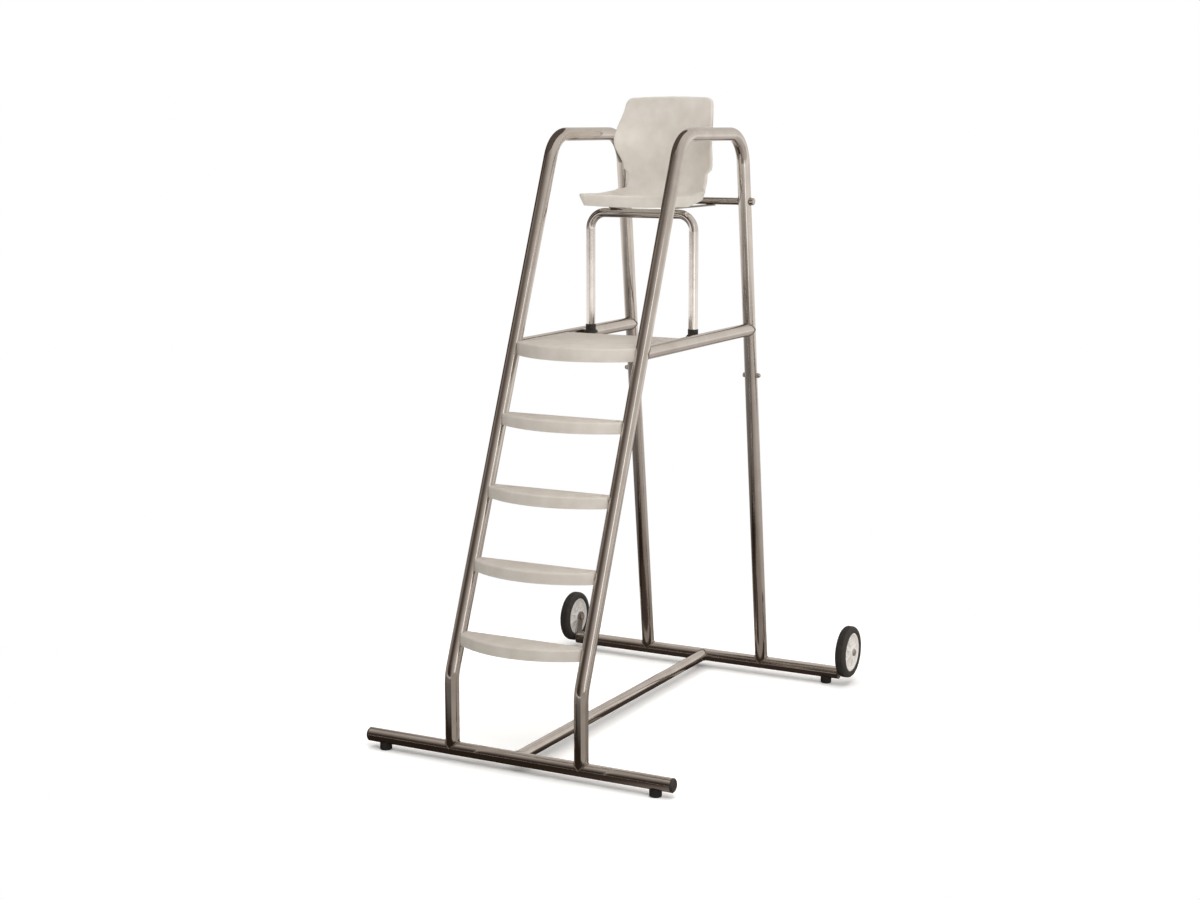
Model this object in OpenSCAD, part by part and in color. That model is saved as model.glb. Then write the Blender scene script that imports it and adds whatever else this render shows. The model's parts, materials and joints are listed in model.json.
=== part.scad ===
// Lifeguard chair on a wheeled tube base, with four treads, a standing deck and a shell seat.
// Millimetres. +Z is up, the ladder faces -Y, and the floor is Z = 0.

/* [Tubes] */
// Outer diameter of the main tube
tube_d = 48.3; // [42.4:0.1:54]
// Wall of the main tube
tube_t = 2; // [1.5:0.1:3]
// Outer diameter of the base spine tube
spine_d = 42.4; // [33.7:0.1:46]
// Wall of the base spine tube
spine_t = 2; // [1.5:0.1:3]

// Distance of a coped tube's cut end from the axis of the tube that it is welded to
weld_cut = 4; // [2:0.5:8]
// How much a tube's radius is drawn down round a bend
bend_draw = 0.1; // [0.05:0.01:0.2]

/* [Base] */
// Height of the foot bar axes above the floor
bar_z = 46; // [40:1:60]
// Length of the front foot bar, without its end caps
front_bar_l = 1168; // [1000:1:1400]
// Length of the rear foot bar
rear_bar_l = 1146; // [1000:1:1400]
// Distance between the two foot bar axes
base_l = 1497; // [1300:1:1700]
// Distance of the front feet from the ends of their bar's tube
front_foot_in = 60; // [30:1:120]
// Distance of the rear feet from the ends of their bar's tube
rear_foot_in = 49; // [30:1:120]
// Diameter of the round feet
foot_d = 42; // [36:1:46]
// Height that a foot climbs up the side of its bar
foot_grip = 7; // [2:1:12]
// Bevel round the bottom of a foot
foot_bevel = 3; // [1:0.5:6]
// Length of a bar end cap outside the tube
cap_l = 8; // [4:1:14]
// Length of a cap's plug inside the tube
plug_l = 22; // [12:1:40]
// Gap between a plug and the bore that it closes
plug_gap = 0.15; // [0.1:0.05:0.4]

/* [Side frames] */
// Distance between the two side frames, axis to axis
leg_gap = 500; // [460:1:560]
// Height of the upright stub above the foot bar axis
stub_h = 259; // [200:1:320]
// Height of the armrest axes above the floor
arm_z = 2114; // [2050:1:2200]
// Setback of the armrest's front corner from the front bar axis
arm_y = 729.5; // [650:1:800]
// Length of the armrest, corner to corner
arm_l = 520; // [480:1:600]
// Centreline radius of the armrest bends
arm_bend_r = 120; // [100:1:150]
// Centreline radius of the bend above the stub
stub_bend_r = 150; // [120:1:220]
// Height of the joint line in the rear legs
joint_z = 1150; // [1000:1:1250]
// Length of the spigot inside the upper rear leg
spigot_l = 110; // [80:1:140]
// Gap between the spigot and the bore of the upper leg
spigot_gap = 0.15; // [0.1:0.05:0.4]
// Wall of the spigot
spigot_t = 2.5; // [2:0.1:4]
// Height of the joint bolt above the joint line
joint_bolt_up = 57; // [30:1:70]
// Diameter of the joint bolt
joint_bolt_d = 10; // [8:1:12]
// Gap around the joint bolt in its holes
bolt_gap = 0.25; // [0.1:0.05:0.5]
// Height of the joint bolt's head and of its nut
bolt_head_h = 7; // [5:0.5:9]
// Width of the joint bolt's head and nut across their corners
bolt_head_d = 19; // [16:0.5:24]

/* [Treads] */
// Height of the first tread's top above the floor
tread_z1 = 446; // [400:1:480]
// Height from one tread to the next
tread_step = 239.3; // [220:0.1:250]
// Height of a tread's edge
tread_h = 41; // [30:1:50]
// Distance from the leg axes forward to a tread's front edge at its middle
tread_nose = 100; // [80:1:120]
// Distance from the leg axes forward to a tread's front edge at its ends
tread_shoulder = 24; // [10:1:40]
// Distance from the leg axes back to a tread's rear edge
tread_tail = 20; // [12:1:40]
// Radius of the upper edges of the treads and of the deck
mould_r = 8; // [4:1:10]
// Wall of the moulded treads and of the deck
mould_t = 4; // [3:0.5:6]
// Number of stiffening ribs under each tread and under the deck
ribs = 3; // [1:1:5]
// Depth that a moulding reaches round the tube beside it
wrap = 6; // [3:1:10]

/* [Deck] */
// Height of the deck's top above the floor
deck_z = 1403; // [1390:1:1410]
// Height of the deck's edge
deck_h = 47; // [40:1:55]
// Distance from the leg axes forward to the deck's front edge at its middle
deck_nose = 112; // [90:1:130]
// Distance from the leg axes forward to the deck's front edge at its ends
deck_shoulder = 14; // [8:1:30]
// Distance from the leg axes back to the deck's rear edge
deck_tail = 345; // [300:1:380]
// Height of the deck rail axes above the floor
rail_z = 1384; // [1375:1:1395]

/* [Seat frame] */
// Outer diameter of the seat frame tube
hoop_d = 33.7; // [30:0.1:38]
// Wall of the seat frame tube
hoop_t = 2; // [1.5:0.1:3]
// Height of the seat frame's top bar axis above the floor
hoop_z = 1831; // [1800:1:1860]
// Distance of the seat frame behind the front bar axis
hoop_y = 925; // [900:1:960]
// Centreline radius of the seat frame bends
hoop_bend_r = 60; // [50:1:80]
// Depth of the seat frame's lower ends below the rail axes
hoop_drop = 16; // [8:1:24]
// Outer diameter of the cross tube behind the seat
cross_d = 26.9; // [24:0.1:28]
// Wall of the cross tube
cross_t = 2; // [1.5:0.1:3]
// Height of the cross tube's axis above the floor
cross_z = 1866; // [1850:1:1880]
// Length that the cross tube stands out past each rear leg's axis
cross_out = 34; // [30:1:50]
// Length of a cross tube cap outside the tube
cross_cap_l = 4; // [2:0.5:8]
// Length of a cross tube cap's plug
cross_plug_l = 14; // [8:1:24]
// Gap between the cross tube and its holes in the legs
cross_gap = 0.1; // [0.05:0.05:0.3]
// Distance of each seat bearer from the middle
bearer_x = 110; // [80:1:140]
// Width of a seat bearer
bearer_w = 30; // [25:1:40]
// Diameter of a seat mount
mount_d = 32; // [26:1:36]
// Distance of the rear seat mounts behind the seat frame
mount_run = 150; // [120:1:170]
// Gap between a seat mount and the pan above it
mount_gap = 0.3; // [0.1:0.1:0.6]
// Diameter of the base of a seat frame boot
boot_d = 52; // [46:1:70]
// Height that a boot reaches above the rail
boot_up = 12; // [4:1:40]
// Wall of a boot's neck
boot_t = 2; // [1.5:0.5:4]
// Height of a boot's straight rim
boot_rim_h = 6; // [3:1:10]
// Height of a boot's underside above the rail's axis
boot_seat = 4; // [0:1:10]

/* [Seat] */
// Distance of the seat's front edge behind the front bar axis
seat_y = 800; // [780:1:820]
// Height of the seat's rim above the floor
seat_z = 1899; // [1894:1:1910]
// Depth of the seat pan, to the foot of the backrest
seat_l = 340; // [320:1:350]
// Radius of the curve from the pan into the backrest
heel = 60; // [45:1:75]
// Height of the backrest above the rim
back_h = 352; // [330:1:380]
// Lean of the backrest from the pan to its top
back_lean = 14; // [5:1:40]
// Half width of the seat pan at its front
pan_w = 200; // [190:1:205]
// Half width of the seat pan at its back
pan_back_w = 182; // [175:1:190]
// Half width of the waist between the pan and the backrest
waist_w = 162; // [155:1:172]
// Height of the waist's upper end above the rim
waist_top = 92; // [80:1:110]
// Depth of the step from the waist out to the backrest
waist_step = 20; // [10:1:26]
// Half width of the backrest at its widest
wing_w = 200; // [190:1:206]
// Height above the rim where the backrest is widest
wing_z = 185; // [160:1:210]
// Half width of the backrest at its top
top_w = 178; // [165:1:188]
// Forward reach of the backrest wings
wing_f = 62; // [40:1:70]
// Dish of the seat pan
dish = 14; // [8:1:18]
// Wall of the seat shell
shell_t = 5; // [4:0.5:6]
// Radius of the shell's rolled edge
roll_r = 8; // [6:1:10]
// Height of the pan's skirt
skirt_h = 42; // [30:1:44]
// Distance that the skirt slopes in from the rim to its lower edge
skirt_in = 18; // [5:1:25]
// Radius of the shell's corners
corner_r = 20; // [12:1:50]

/* [Wheels] */
// Outer diameter of the tyres
tyre_d = 200; // [180:1:210]
// Width of the tyres
tyre_w = 40; // [34:1:46]
// Thickness of the tyre's rubber, from its seat to its tread
tyre_h = 25; // [18:1:30]
// Clearance of the tyres above the floor
wheel_lift = 28; // [10:1:40]
// Distance of the wheel axes behind the rear bar axis
wheel_back = 23; // [10:1:50]
// Diameter of the axles
axle_d = 16; // [14:1:20]
// Running clearance between an axle and its hub
axle_gap = 0.05; // [0.03:0.01:0.1]
// Length of a hub on its axle
hub_l = 44; // [40:1:50]
// Diameter of a hub's boss
boss_d = 46; // [40:1:52]
// Thickness of the wheel brackets
bracket_t = 5; // [4:1:8]
// Width of the wheel brackets between their round ends
bracket_w = 34; // [28:1:40]
// Diameter of a bracket's end round its axle
bracket_eye_d = 42; // [41:1:46]
// Height of the shoulder that spaces a hub from its bracket
shoulder_l = 4; // [3:0.5:8]
// End play of a hub on its axle, at each end
end_play = 0.3; // [0.2:0.1:0.6]
// Diameter of an axle's shoulder and head
axle_collar_d = 26; // [24:1:30]
// Diameter of an axle's outer cap
axle_cap_d = 29; // [26:1:34]
// Height of an axle's head and of its cap
axle_cap_h = 7; // [5:0.5:10]
// Width of a hub's rim
rim_w = 32; // [26:1:34]
// Thickness of a hub's rim
rim_t = 8; // [5:0.5:10]
// Thickness of a hub's web
web_t = 8; // [5:0.5:12]
// Radius of a tyre's shoulders
tyre_shoulder_r = 13; // [8:0.5:16]

/* [Hidden] */

$fn = 64;
cut = 2;                       // how far a cutting solid runs past what it cuts
bend_lap = 1;                  // how far a bend reaches into the straight beside it
tube_r = tube_d / 2;
hoop_r = hoop_d / 2;
cross_r = cross_d / 2;
leg_x = leg_gap / 2;
front_foot_x = front_bar_l / 2 - front_foot_in;
rear_foot_x = rear_bar_l / 2 - rear_foot_in;

// The front edge of the first tread and the back of the tyres end the part in depth.
lean = arm_y / (arm_z - bar_z - stub_h);
front_y = min(-tube_r, leg_y(tread_z1 - tread_h / 2) - tread_nose);
back_y = base_l + wheel_back + tyre_d / 2;
mid_y = (front_y + back_y) / 2;

// Corners of a side frame's centreline, as distance behind the front bar and height.
stub_foot = [0, bar_z + weld_cut];
stub_top = [0, bar_z + stub_h];
arm_front = [arm_y, arm_z];
arm_back = [arm_y + arm_l, arm_z];
rear_foot = [base_l, bar_z];
joint_pt = [rear_leg_y(joint_z), joint_z];
rear_start = rear_foot + weld_cut * unit(joint_pt - rear_foot);

wheel_y = base_l + wheel_back;
wheel_z = tyre_d / 2 + wheel_lift;
rim_r = tyre_d / 2 - tyre_h;
bracket_x = rear_bar_l / 2 + bracket_t;
hub_x = bracket_x + shoulder_l + end_play;
wheel_x = hub_x + hub_l / 2;

rail_span = rear_leg_y(rail_z) - leg_y(rail_z);
inner_x = leg_x - tube_r;
hoop_x = inner_x - hoop_r;
bearer_top = cross_z - cross_r;
bearer_t = bearer_top - (hoop_z + hoop_r);
bearer_end = rear_leg_y(cross_z) + cross_r;

// Distance of the front leg's axis behind the front bar, at a height.
function leg_y(z) = max(0, z - bar_z - stub_h) * lean;

// The same for the rear leg.
function rear_leg_y(z) = arm_back[0] + (arm_z - z) * (base_l - arm_y - arm_l) / (arm_z - bar_z);

function unit(v) = v / norm(v);
function bend(a, b, c) = acos(unit(b - a) * unit(c - b));
function ease(t) = t * t * (3 - 2 * t);

// Places children in the part's frame, from the front bar's own frame.
module placed() {
    translate([0, -mid_y, 0]) children();
}

module mirrored(side) {
    if (side < 0) mirror([1, 0, 0]) children();
    else children();
}

// Turns a drawing in X and Y into one in Y and Z.
module upright() {
    rotate([90, 0, 90]) children();
}

// A round rod that starts along X and always turns towards Y, one straight and bend after another.
// A bend is drawn down a little, and reaches into the straights at its two ends.
module rod_chain(lengths, turns, bends, r, ext = 0, i = 0) {
    last = i == len(turns);
    start = i == 0 ? ext : 0;
    translate([-start, 0, 0]) rotate([0, 90, 0])
        cylinder(h = start + lengths[i] + (last ? ext : 0), r = r);
    if (!last) translate([lengths[i], bends[i], 0]) {
        lap = asin(bend_lap / bends[i]);
        rotate([0, 0, -90 - lap]) rotate_extrude(angle = turns[i] + 2 * lap, $fn = 180)
            translate([bends[i], 0]) circle(r = r - bend_draw, $fn = 64);
        rotate([0, 0, turns[i]]) translate([0, -bends[i], 0])
            rod_chain(lengths, turns, bends, r, ext, i + 1);
    }
}

// A bent tube through corner points in one plane, with a centreline radius for each inner corner.
module bent_tube(pts, bends, d, t) {
    last = len(pts) - 1;
    turns = [for (i = [1:last - 1]) bend(pts[i - 1], pts[i], pts[i + 1])];
    back = [0, for (i = [0:last - 2]) bends[i] * tan(turns[i] / 2), 0];
    lengths = [for (i = [0:last - 1]) norm(pts[i + 1] - pts[i]) - back[i] - back[i + 1]];
    difference() {
        rod_chain(lengths, turns, bends, d / 2);
        rod_chain(lengths, turns, bends, d / 2 - t, cut);
    }
}

// A straight rod between two points of a side frame's plane.
module rod_between(a, b, r, ext = 0) {
    d = unit(b - a);
    translate([leg_x, a[0] - d[0] * ext, a[1] - d[1] * ext])
        rotate([-atan2(d[0], d[1]), 0, 0]) cylinder(h = norm(b - a) + 2 * ext, r = r);
}

// A tube or rod along X, centred.
module rod_x(l, r) {
    rotate([0, 90, 0]) cylinder(h = l, r = r, center = true);
}

module tube_x(l, d, t) {
    difference() {
        rod_x(l, d / 2);
        rod_x(l + 2 * cut, d / 2 - t);
    }
}

// The outer surface of the straight front leg and of the rear leg, to seat other pieces on.
module front_leg_rod() {
    rod_between(stub_top, arm_front, tube_r);
}

module rear_leg_rod() {
    rod_between(rear_foot, arm_back, tube_r);
}

module front_bar_rod() {
    translate([0, 0, bar_z]) rod_x(front_bar_l, tube_r);
}

module rear_bar_rod() {
    translate([0, base_l, bar_z]) rod_x(rear_bar_l, tube_r);
}

// A rod along a rail's axis, shorter than the gap between the legs' axes by short at each end.
module rail_rod(r = tube_r, short = 0) {
    translate([leg_x, leg_y(rail_z) + short, rail_z])
        rotate([-90, 0, 0]) cylinder(h = rail_span - 2 * short, r = r);
}

module front_foot_bar() {
    color("darkgray") placed() translate([0, 0, bar_z]) tube_x(front_bar_l, tube_d, tube_t);
}

module rear_foot_bar() {
    color("darkgray") placed() translate([0, base_l, bar_z]) tube_x(rear_bar_l, tube_d, tube_t);
}

module base_spine() {
    color("silver") placed() difference() {
        translate([0, 0, bar_z]) rotate([-90, 0, 0]) cylinder(h = base_l, d = spine_d);
        translate([0, -cut, bar_z]) rotate([-90, 0, 0])
            cylinder(h = base_l + 2 * cut, d = spine_d - 2 * spine_t);
        front_bar_rod();
        rear_bar_rod();
    }
}

// A domed plug that closes a tube's open end, from that end outwards along X.
module end_cap(x, d, t, out, plug) {
    translate([x, 0, 0]) rotate([0, 90, 0]) {
        cylinder(h = out / 2, d = d);
        translate([0, 0, out / 2]) cylinder(h = out / 2, d1 = d, d2 = d - out);
        translate([0, 0, -plug]) cylinder(h = plug, d = d - 2 * t - 2 * plug_gap);
    }
}

module bar_cap(side) {
    color("black") placed() mirrored(side) translate([0, 0, bar_z])
        end_cap(front_bar_l / 2, tube_d, tube_t, cap_l, plug_l);
}

// A round rubber foot with a saddle for its bar.
module foot(side, x, y) {
    top = bar_z - tube_r + foot_grip;
    color("black") placed() difference() {
        translate([side * x, y, 0]) {
            cylinder(h = foot_bevel, d1 = foot_d - 2 * foot_bevel, d2 = foot_d);
            translate([0, 0, foot_bevel]) cylinder(h = top - foot_bevel, d = foot_d);
        }
        translate([0, y, bar_z]) rod_x(2 * (x + foot_d), tube_r);
    }
}

// One bent tube: stub, front leg, armrest and the upper part of the rear leg.
module side_frame(side) {
    color("silver") placed() mirrored(side) difference() {
        translate([leg_x, 0, stub_foot[1]]) rotate([0, -90, 0])
            bent_tube([stub_foot, stub_top, arm_front, arm_back, joint_pt],
                [stub_bend_r, arm_bend_r, arm_bend_r], tube_d, tube_t);
        front_bar_rod();
        cross_bore();
        joint_bore(joint_bolt_d / 2 + bolt_gap);
    }
}

module cross_bore() {
    translate([leg_x, rear_leg_y(cross_z), cross_z]) rod_x(3 * tube_d, cross_r + cross_gap);
}

module joint_bore(r) {
    z = joint_z + joint_bolt_up;
    translate([leg_x, rear_leg_y(z), z]) rod_x(3 * tube_d, r);
}

// The lower rear leg, with the spigot that enters the upper part.
module rear_leg(side) {
    spigot_d = tube_d - 2 * tube_t - 2 * spigot_gap;
    seat_pt = [rear_leg_y(joint_z - spigot_l / 2), joint_z - spigot_l / 2];
    tip_pt = [rear_leg_y(joint_z + spigot_l), joint_z + spigot_l];
    color("silver") placed() mirrored(side) difference() {
        union() {
            rod_between(rear_start, joint_pt, tube_r);
            rod_between(seat_pt, tip_pt, spigot_d / 2);
        }
        rod_between(rear_start, seat_pt, tube_r - tube_t, cut);
        rod_between(seat_pt, tip_pt, spigot_d / 2 - spigot_t, cut);
        rear_bar_rod();
        joint_bore(joint_bolt_d / 2 + bolt_gap);
    }
}

// The bolt through a rear leg's joint, with its head inside and a domed nut outside.
module leg_bolt(side) {
    z = joint_z + joint_bolt_up;
    color("gray") placed() mirrored(side)
        translate([leg_x, rear_leg_y(z), z]) rotate([0, 90, 0]) {
            cylinder(h = tube_d, d = joint_bolt_d, center = true);
            for (face = [-tube_r - bolt_head_h, tube_r])
                translate([0, 0, face]) cylinder(h = bolt_head_h, d = bolt_head_d, $fn = 6);
            translate([0, 0, tube_r + bolt_head_h]) intersection() {
                sphere(d = joint_bolt_d + bolt_head_h);
                cylinder(h = bolt_head_d, d = bolt_head_d);
            }
        }
}

// Outline and rounded upper edges of a moulding: an arched nose, a straight tail and straight ends.
// The nose is an arc through the shoulders, which lie at the half width. The moulding is drawn in
// by the inset all round, and its upper edges are rounded to edge_r.
module moulding(half_w, nose, shoulder, tail, h, inset, edge_r) {
    rise = nose - shoulder;
    arc_r = (half_w * half_w + rise * rise) / (2 * rise);
    intersection() {
        translate([0, arc_r - nose, 0]) rotate_extrude($fn = 180) nose_profile(arc_r - inset, h, edge_r);
        translate([-half_w + inset, -nose, 0]) rotate([90, 0, 90])
            linear_extrude(height = 2 * (half_w - inset)) tail_profile(nose + tail - inset, h, edge_r);
    }
}

// Sections of a moulding, each with its upper outer corner rounded: one about the centre of the
// nose's arc, and one from the nose to the tail.
module nose_profile(r, h, edge_r) {
    difference() {
        translate([0, -h]) square([r, h]);
        corner_cut(r, edge_r);
    }
}

module tail_profile(l, h, edge_r) {
    difference() {
        translate([-cut, -h]) square([l + cut, h]);
        corner_cut(l, edge_r);
    }
}

module corner_cut(x, r) {
    translate([x - r, -r]) difference() {
        square([r + cut, r + cut]);
        circle(r = r);
    }
}

// A hollow moulding, open below, with stiffening ribs from front to back.
module hollow_moulding(half_w, nose, shoulder, tail, h) {
    rib_gap = 2 * half_w / (ribs + 1);
    difference() {
        moulding(half_w, nose, shoulder, tail, h, 0, mould_r);
        difference() {
            translate([0, 0, -mould_t])
                moulding(half_w, nose, shoulder, tail, h, mould_t, mould_r - mould_t);
            for (i = [1:ribs])
                translate([-half_w + i * rib_gap - mould_t / 2, -nose, -h])
                    cube([mould_t, nose + tail, h]);
        }
    }
}

module tread(i) {
    z = tread_z1 + (i - 1) * tread_step;
    color("gainsboro") placed() difference() {
        translate([0, leg_y(z - tread_h / 2), z])
            hollow_moulding(inner_x + wrap, tread_nose, tread_shoulder, tread_tail, tread_h);
        for (side = [-1, 1]) mirrored(side) front_leg_rod();
    }
}

module deck() {
    color("gainsboro") placed() difference() {
        translate([0, leg_y(deck_z - deck_h / 2), deck_z])
            hollow_moulding(inner_x + wrap, deck_nose, deck_shoulder, deck_tail, deck_h);
        for (side = [-1, 1]) mirrored(side) {
            front_leg_rod();
            rail_rod();
        }
    }
}

module deck_rail(side) {
    color("silver") placed() mirrored(side) difference() {
        rail_rod(tube_r, weld_cut);
        rail_rod(tube_r - tube_t);
        front_leg_rod();
        rear_leg_rod();
    }
}

// The hoop that carries the seat, standing against the inner faces of the rails.
module seat_frame() {
    low = rail_z - hoop_drop;
    color("silver") placed() translate([-hoop_x, hoop_y, low]) rotate([0, -90, -90])
        bent_tube([[-hoop_x, low], [-hoop_x, hoop_z], [hoop_x, hoop_z], [hoop_x, low]],
            [hoop_bend_r, hoop_bend_r], hoop_d, hoop_t);
}

// A flared boot round a hoop leg, seated on its rail.
module seat_boot(side) {
    low = rail_z - hoop_drop;
    neck_r = hoop_r + boot_t;
    neck_h = hoop_drop + tube_r + boot_up;
    base_z = rail_z + boot_seat;
    color("black") placed() mirrored(side) difference() {
        translate([hoop_x, hoop_y, 0]) {
            translate([0, 0, low]) cylinder(h = neck_h, r = neck_r);
            translate([0, 0, base_z]) cylinder(h = boot_rim_h, d = boot_d);
            translate([0, 0, base_z + boot_rim_h])
                cylinder(h = boot_d / 2 - neck_r, d1 = boot_d, d2 = 2 * neck_r);
        }
        translate([hoop_x, hoop_y, low - cut]) cylinder(h = neck_h + 2 * cut, r = hoop_r);
        rail_rod();
    }
}

module seat_cross_tube() {
    color("silver") placed() translate([0, rear_leg_y(cross_z), cross_z])
        tube_x(2 * (leg_x + cross_out), cross_d, cross_t);
}

module cross_cap(side) {
    color("gray") placed() mirrored(side) translate([0, rear_leg_y(cross_z), cross_z])
        end_cap(leg_x + cross_out, cross_d, cross_t, cross_cap_l, cross_plug_l);
}

// A flat bar from the hoop's top to the cross tube's underside.
module seat_bearer(side) {
    front = hoop_y - hoop_r;
    color("silver") placed() mirrored(side)
        translate([bearer_x - bearer_w / 2, front, bearer_top - bearer_t])
            cube([bearer_w, bearer_end - front, bearer_t]);
}

// Four round spacers between the bearers and the pan's underside.
module seat_mounts() {
    color("dimgray") placed()
        for (side = [-1, 1], run = [0, mount_run])
            translate([side * bearer_x, hoop_y + run, bearer_top])
                cylinder(h = mount_h(run), d = mount_d);
}

// The pan rises a little towards its sides and its back, so each mount has its own height.
function mount_h(run) = shell_point(hoop_y + run - seat_y - roll_r, bearer_x - mount_d / 2)[2]
    - shell_t - bearer_top - mount_gap;

// Middle line of the seat shell's upper face, as distance back from the front edge's roll and
// height above the rim: a dished pan, the heel, and a backrest that is almost straight.
back_top = back_h - roll_r;
pan_l = seat_l - roll_r;
seat_line = [[0, 0], [0.3 * pan_l, -0.8 * dish], [0.65 * pan_l, -dish], [pan_l - heel, -0.6 * dish],
    [pan_l - 0.3 * heel, 0.3 * heel], [pan_l, heel], [pan_l + 0.3 * back_lean, 0.5 * back_top],
    [pan_l + 0.6 * back_lean, 0.75 * back_top], [pan_l + back_lean, back_top]];

// Length along that line at each of its points.
seat_knots = [for (i = 0, s = 0; i < len(seat_line);
    s = s + (i + 1 < len(seat_line) ? norm(seat_line[i + 1] - seat_line[i]) : 0), i = i + 1) s];
seat_run = seat_knots[len(seat_knots) - 1];

function knot_slope(i) =
    let (a = max(0, i - 1), b = min(len(seat_line) - 1, i + 1))
    (seat_line[b] - seat_line[a]) / (seat_knots[b] - seat_knots[a]);

function span_of(s, i = 0) =
    i >= len(seat_knots) - 2 || s < seat_knots[i + 1] ? i : span_of(s, i + 1);

// A smooth curve through the points, as distance back and height, straight beyond its ends.
function line_at(s) =
    let (c = min(max(s, 0), seat_run), i = span_of(c), w = seat_knots[i + 1] - seat_knots[i],
        t = (c - seat_knots[i]) / w)
    (2 * t ^ 3 - 3 * t ^ 2 + 1) * seat_line[i] + (t ^ 3 - 2 * t ^ 2 + t) * w * knot_slope(i)
        + (3 * t ^ 2 - 2 * t ^ 3) * seat_line[i + 1] + (t ^ 3 - t ^ 2) * w * knot_slope(i + 1)
        + (s - c) * knot_slope(s < 0 ? 0 : len(seat_line) - 1);

function line_dir(s) = unit(line_at(s + 0.5) - line_at(s - 0.5));

// Eased value at s from a list of [s, value] pairs.
function eased(s, list, i = 0) =
    s <= list[0][0] ? list[0][1]
    : i >= len(list) - 1 ? list[len(list) - 1][1]
    : s < list[i + 1][0]
        ? list[i][1] + (list[i + 1][1] - list[i][1])
            * ease((s - list[i][0]) / (list[i + 1][0] - list[i][0]))
    : eased(s, list, i + 1);

// Where the shell's shape changes, as lengths along its middle line.
pan_mid = seat_knots[1];
pan_end = seat_knots[3];
waist_low = seat_knots[4];
function up_back(h) = seat_knots[5] + h - heel;

// Half width of the shell, with round corners at its front and its top.
function side_w(s) = eased(s, [[pan_mid, pan_w], [pan_end, pan_back_w], [waist_low, waist_w],
    [up_back(waist_top - waist_step), waist_w], [up_back(waist_top), waist_w + waist_step],
    [up_back(wing_z), wing_w], [seat_run, top_w]]) - roll_r;
function corner_in(d) = d >= corner_r ? 0 : corner_r - sqrt(corner_r ^ 2 - (corner_r - max(d, 0)) ^ 2);
function shell_w(s) = side_w(s) - corner_in(s) - corner_in(seat_run - s);

// How far the shell's sides rise towards the sitter, at the wings' half width.
function side_rise(s) = eased(s, [[0, 0.4 * dish], [pan_mid, dish], [pan_end, 2.2 * dish],
    [waist_low, 0.25 * wing_f], [up_back(waist_top), 0.3 * wing_f], [up_back(wing_z), wing_f],
    [seat_run, 0.2 * wing_f]]);

// A point of the upper face, offset by up towards the sitter.
function shell_point(s, x, up = 0) =
    let (p = line_at(s), d = line_dir(s), lift = side_rise(s) * (abs(x) / wing_w) ^ 2.2 + up)
    [x, seat_y + roll_r + p[0] - d[1] * lift, seat_z + p[1] + d[0] * lift];

// The skirt is deepest round the pan, and dies into the rolled edge of the backrest.
function skirt_at(s) = eased(s, [[pan_mid, 1], [pan_end, 0.8], [waist_low, 0]]);

// Outline of the shell in length and width, once round from the front left corner.
shell_nu = 40;
shell_nv = 16;
crowd = 0.12;                  // how far the outline's points crowd towards its two ends
function grid_s(i) = seat_run * (i / shell_nu - crowd * sin(360 * i / shell_nu));
function grid_sx(i, j) = let (s = grid_s(i)) [s, shell_w(s) * (2 * j / shell_nv - 1)];
loop_ij = concat(
    [for (j = [0:shell_nv - 1]) [0, j]],
    [for (i = [0:shell_nu - 1]) [i, shell_nv]],
    [for (j = [shell_nv:-1:1]) [shell_nu, j]],
    [for (i = [shell_nu:-1:1]) [i, 0]]);
loop_n = len(loop_ij);
loop_sx = [for (p = loop_ij) grid_sx(p[0], p[1])];
function loop_out(k) =
    let (a = loop_sx[(k + loop_n - 1) % loop_n], b = loop_sx[(k + 1) % loop_n], d = unit(b - a))
    [-d[1], d[0]];

// A ring of the shell's edge: out is how far it lies past the outline, and down is its drop.
function edge_ring(out, down) =
    [for (k = [0:loop_n - 1])
        let (p = loop_sx[k] + loop_out(k) * out) shell_point(p[0], p[1], -down)];

// The skirt's lower edge, set in from the rolled edge by more where the skirt is deep.
function skirt_ring(inset) =
    [for (k = [0:loop_n - 1])
        let (deep = skirt_at(loop_sx[k][0]), out = roll_r - deep * skirt_in - inset,
            p = loop_sx[k] + loop_out(k) * out)
        shell_point(p[0], p[1], -roll_r - shell_t - deep * (skirt_h - roll_r - shell_t))];

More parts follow.
